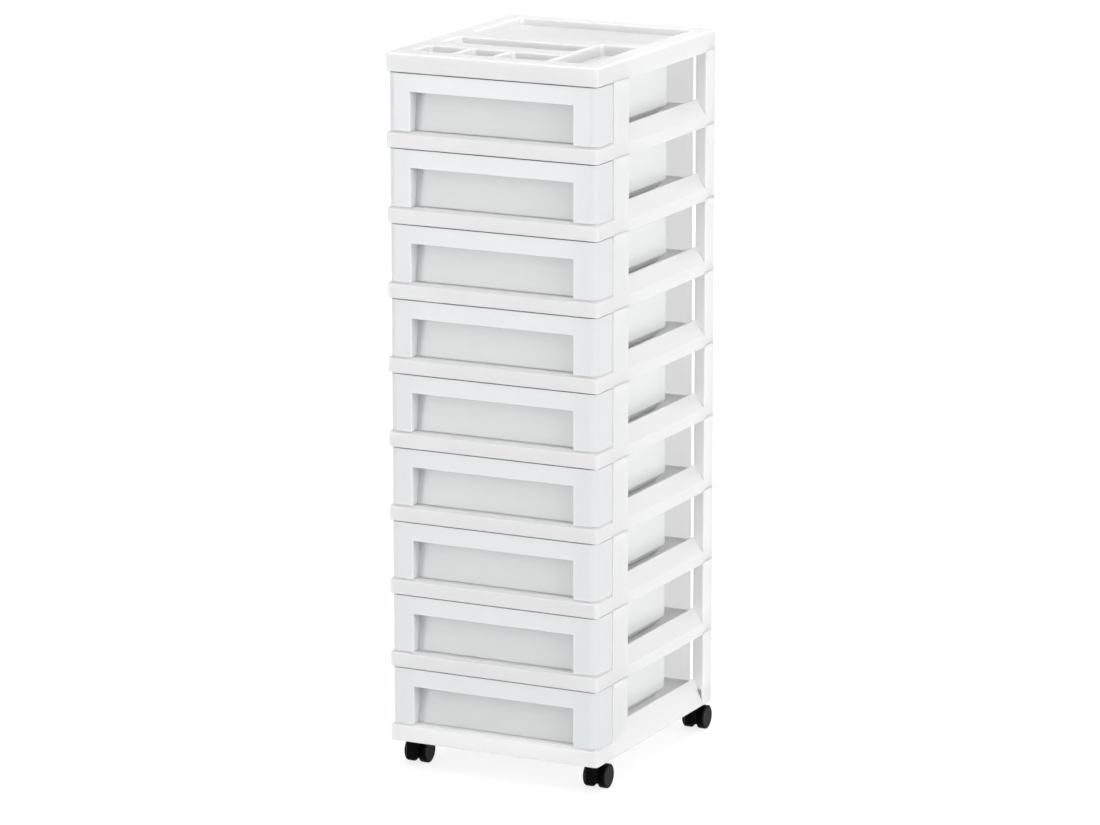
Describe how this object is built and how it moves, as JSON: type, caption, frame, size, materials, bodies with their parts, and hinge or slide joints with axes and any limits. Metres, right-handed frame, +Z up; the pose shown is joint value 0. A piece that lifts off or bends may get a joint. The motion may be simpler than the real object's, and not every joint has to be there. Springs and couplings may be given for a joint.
{
  "type": "drawer tower",
  "caption": "Plastic drawer tower on casters: stacked open tier frames, sliding translucent drawers with recessed pulls and an organizer tray on top.",
  "frame": {"origin": "on the floor under the middle of the tower's overall box, rear casters included", "axes": "+Z up, drawers open towards -Y, +X to the right as seen from the front"},
  "size_m": [0.306, 0.3726, 0.967],
  "materials": {
    "frame_plastic": "satin white moulded plastic",
    "drawer_plastic": "translucent natural moulded plastic",
    "caster_plastic": "black moulded plastic",
    "wheel_plastic": "black moulded plastic with a dark grey face",
    "steel": "plain zinc-plated pin"
  },
  "bodies": {
    "root": {"base_frame": "frame_plastic", "tier_frame_1": "frame_plastic", "tier_frame_2": "frame_plastic", "tier_frame_3": "frame_plastic", "tier_frame_4": "frame_plastic", "tier_frame_5": "frame_plastic", "tier_frame_6": "frame_plastic", "tier_frame_7": "frame_plastic", "tier_frame_8": "frame_plastic", "organizer_top": "frame_plastic"},
    "drawer_1": {"drawer_1": "drawer_plastic"},
    "drawer_2": {"drawer_2": "drawer_plastic"},
    "drawer_3": {"drawer_3": "drawer_plastic"},
    "drawer_4": {"drawer_4": "drawer_plastic"},
    "drawer_5": {"drawer_5": "drawer_plastic"},
    "drawer_6": {"drawer_6": "drawer_plastic"},
    "drawer_7": {"drawer_7": "drawer_plastic"},
    "drawer_8": {"drawer_8": "drawer_plastic"},
    "drawer_9": {"drawer_9": "drawer_plastic"},
    "caster_front_left": {"caster_housing_front_left": "caster_plastic", "caster_axle_front_left": "steel"},
    "wheel_left_front_left": {"wheel_left_front_left": "wheel_plastic"},
    "wheel_right_front_left": {"wheel_right_front_left": "wheel_plastic"},
    "caster_front_right": {"caster_housing_front_right": "caster_plastic", "caster_axle_front_right": "steel"},
    "wheel_left_front_right": {"wheel_left_front_right": "wheel_plastic"},
    "wheel_right_front_right": {"wheel_right_front_right": "wheel_plastic"},
    "caster_rear_left": {"caster_housing_rear_left": "caster_plastic", "caster_axle_rear_left": "steel"},
    "wheel_left_rear_left": {"wheel_left_rear_left": "wheel_plastic"},
    "wheel_right_rear_left": {"wheel_right_rear_left": "wheel_plastic"},
    "caster_rear_right": {"caster_housing_rear_right": "caster_plastic", "caster_axle_rear_right": "steel"},
    "wheel_left_rear_right": {"wheel_left_rear_right": "wheel_plastic"},
    "wheel_right_rear_right": {"wheel_right_rear_right": "wheel_plastic"}
  },
  "joints": [
    {"name": "drawer_1_slide", "type": "slide", "parent": "root", "child": "drawer_1", "axis": [0, -1, 0], "range_m": [0, 0.236]},
    {"name": "drawer_2_slide", "type": "slide", "parent": "root", "child": "drawer_2", "axis": [0, -1, 0], "range_m": [0, 0.236]},
    {"name": "drawer_3_slide", "type": "slide", "parent": "root", "child": "drawer_3", "axis": [0, -1, 0], "range_m": [0, 0.236]},
    {"name": "drawer_4_slide", "type": "slide", "parent": "root", "child": "drawer_4", "axis": [0, -1, 0], "range_m": [0, 0.236]},
    {"name": "drawer_5_slide", "type": "slide", "parent": "root", "child": "drawer_5", "axis": [0, -1, 0], "range_m": [0, 0.236]},
    {"name": "drawer_6_slide", "type": "slide", "parent": "root", "child": "drawer_6", "axis": [0, -1, 0], "range_m": [0, 0.236]},
    {"name": "drawer_7_slide", "type": "slide", "parent": "root", "child": "drawer_7", "axis": [0, -1, 0], "range_m": [0, 0.236]},
    {"name": "drawer_8_slide", "type": "slide", "parent": "root", "child": "drawer_8", "axis": [0, -1, 0], "range_m": [0, 0.236]},
    {"name": "drawer_9_slide", "type": "slide", "parent": "root", "child": "drawer_9", "axis": [0, -1, 0], "range_m": [0, 0.236]},
    {"name": "caster_front_left_swivel", "type": "hinge", "parent": "root", "child": "caster_front_left", "pos_m": [-0.133, -0.16025, 0.04], "axis": [0, 0, 1], "continuous": true},
    {"name": "wheel_left_front_left_spin", "type": "hinge", "parent": "caster_front_left", "child": "wheel_left_front_left", "pos_m": [-0.1434, -0.14025, 0.0165], "axis": [1, 0, 0], "continuous": true},
    {"name": "wheel_right_front_left_spin", "type": "hinge", "parent": "caster_front_left", "child": "wheel_right_front_left", "pos_m": [-0.1226, -0.14025, 0.0165], "axis": [1, 0, 0], "continuous": true},
    {"name": "caster_front_right_swivel", "type": "hinge", "parent": "root", "child": "caster_front_right", "pos_m": [0.133, -0.16025, 0.04], "axis": [0, 0, 1], "continuous": true},
    {"name": "wheel_left_front_right_spin", "type": "hinge", "parent": "caster_front_right", "child": "wheel_left_front_right", "pos_m": [0.1226, -0.14025, 0.0165], "axis": [1, 0, 0], "continuous": true},
    {"name": "wheel_right_front_right_spin", "type": "hinge", "parent": "caster_front_right", "child": "wheel_right_front_right", "pos_m": [0.1434, -0.14025, 0.0165], "axis": [1, 0, 0], "continuous": true},
    {"name": "caster_rear_left_swivel", "type": "hinge", "parent": "root", "child": "caster_rear_left", "pos_m": [-0.133, 0.14975, 0.04], "axis": [0, 0, 1], "continuous": true},
    {"name": "wheel_left_rear_left_spin", "type": "hinge", "parent": "caster_rear_left", "child": "wheel_left_rear_left", "pos_m": [-0.1434, 0.16975, 0.0165], "axis": [1, 0, 0], "continuous": true},
    {"name": "wheel_right_rear_left_spin", "type": "hinge", "parent": "caster_rear_left", "child": "wheel_right_rear_left", "pos_m": [-0.1226, 0.16975, 0.0165], "axis": [1, 0, 0], "continuous": true},
    {"name": "caster_rear_right_swivel", "type": "hinge", "parent": "root", "child": "caster_rear_right", "pos_m": [0.133, 0.14975, 0.04], "axis": [0, 0, 1], "continuous": true},
    {"name": "wheel_left_rear_right_spin", "type": "hinge", "parent": "caster_rear_right", "child": "wheel_left_rear_right", "pos_m": [0.1226, 0.16975, 0.0165], "axis": [1, 0, 0], "continuous": true},
    {"name": "wheel_right_rear_right_spin", "type": "hinge", "parent": "caster_rear_right", "child": "wheel_right_rear_right", "pos_m": [0.1434, 0.16975, 0.0165], "axis": [1, 0, 0], "continuous": true}
  ]
}
